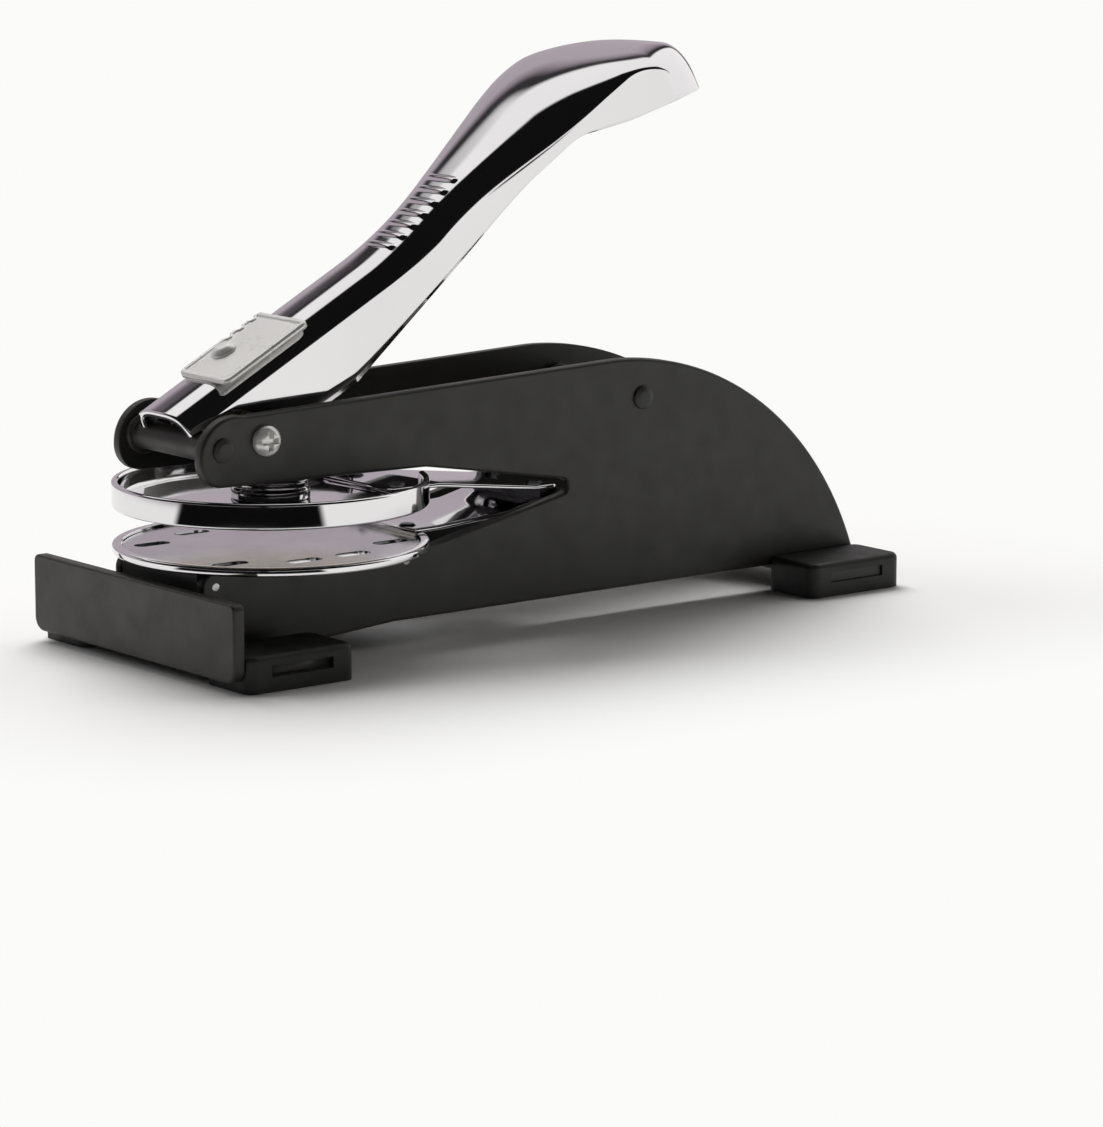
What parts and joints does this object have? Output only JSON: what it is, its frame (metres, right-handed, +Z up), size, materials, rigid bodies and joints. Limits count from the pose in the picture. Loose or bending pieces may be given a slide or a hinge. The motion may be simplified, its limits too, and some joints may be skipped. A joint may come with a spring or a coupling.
{
  "type": "desk seal embosser",
  "caption": "Desk seal embosser: black twin side-plate frame on feet, chrome palm lever, cam roller and plunger that close a round die clip on paper.",
  "frame": {"origin": "on the ground, under the middle of the bounding box", "axes": "+X to the right seen from the front plate, +Y from the front plate to the tail, +Z up"},
  "size_m": [0.0622, 0.15, 0.1003],
  "materials": {
    "black_paint": "satin",
    "foot_rubber": "matte",
    "chrome": "polished",
    "steel": "turned",
    "black_oxide": "matte",
    "bronze": "turned",
    "die_steel": "ground",
    "die_brass": "engraved face left plain"
  },
  "bodies": {
    "frame": {"side_plate_right": "black_paint", "side_plate_left": "black_paint", "front_plate": "black_paint", "rear_strap": "black_paint", "front_foot_right": "foot_rubber", "front_foot_left": "foot_rubber", "rear_foot_right": "foot_rubber", "rear_foot_left": "foot_rubber", "nose_spacer": "black_paint", "rear_spacer": "black_paint", "bed_block": "black_paint", "bed_pins": "steel", "rear_block": "black_paint", "base_screws": "black_oxide", "plunger_guide": "black_oxide", "pivot_axle": "steel", "pivot_screws": "chrome", "pivot_spacers": "steel", "return_spring": "steel", "lower_disc": "chrome", "lower_arm_rivets": "steel", "counter_die": "die_steel", "lower_clip_arm": "chrome", "clip_heel": "black_oxide", "heel_rivets": "black_oxide", "upper_clip_arm": "chrome"},
    "lever": {"handle_shell": "chrome", "ear_bushes": "bronze", "roller_collars": "steel", "roller_pin": "steel"},
    "roller": {"cam_roller": "steel"},
    "latch": {"latch_plate": "chrome", "latch_rivet": "chrome", "latch_washer": "steel"},
    "plunger": {"plunger": "chrome", "plunger_pad": "steel", "disc_screw": "steel", "upper_disc": "chrome", "upper_die": "die_brass", "upper_arm_rivets": "steel"}
  },
  "joints": [
    {"name": "lever_hinge", "type": "hinge", "parent": "frame", "child": "lever", "pos_m": [0, -0.0566, 0.0382], "axis": [-1, 0, 0], "range_deg": [0, 28], "stiffness_Nm_per_rad": 0.08, "springref_deg": -45.84, "deforming": ["return_spring"]},
    {"name": "plunger_slide", "type": "slide", "parent": "frame", "child": "plunger", "axis": [0, 0, -1], "range_m": [0, 0.00509], "deforming": ["upper_clip_arm"]},
    {"name": "roller_spin", "type": "hinge", "parent": "lever", "child": "roller", "pos_m": [0, -0.0464, 0.04074], "axis": [1, 0, 0], "continuous": true},
    {"name": "latch_slide", "type": "slide", "parent": "lever", "child": "latch", "axis": [0, -0.8829, -0.4695], "range_m": [0, 0.0045]}
  ],
  "couplings": [
    {"joint": "plunger_slide", "follows": "lever_hinge", "m_per_rad": 0.010407}
  ]
}
